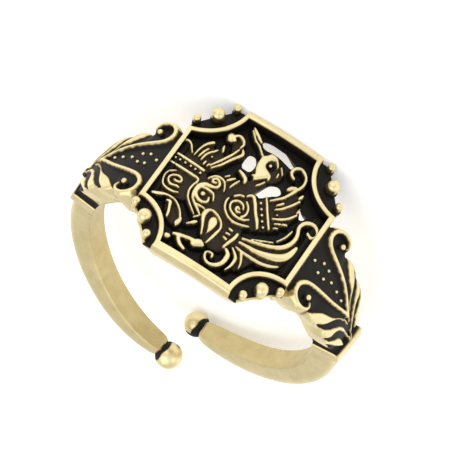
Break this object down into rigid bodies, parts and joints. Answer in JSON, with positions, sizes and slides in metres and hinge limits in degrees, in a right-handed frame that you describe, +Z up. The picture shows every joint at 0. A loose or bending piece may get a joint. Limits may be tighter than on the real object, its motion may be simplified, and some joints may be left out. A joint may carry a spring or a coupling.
{
  "type": "adjustable ring",
  "caption": "Open cast finger ring with ball ends, leafy scrolled shoulders and a pierced plate that shows a winged beast in relief.",
  "frame": {"origin": "bottom centre of the bounding box of the ring laid on its side", "axes": "+Z up from the floor; the finger axis leans 11.5 degrees from +Z towards +Y; the decorated plate faces -Y and a little upwards; +X is to the right seen from the plate"},
  "size_m": [0.0218, 0.0222, 0.0123],
  "materials": {
    "cast_metal": "polished high points over dark oxidised recesses"
  },
  "bodies": {
    "root": {"ring": "cast_metal"}
  },
  "joints": []
}
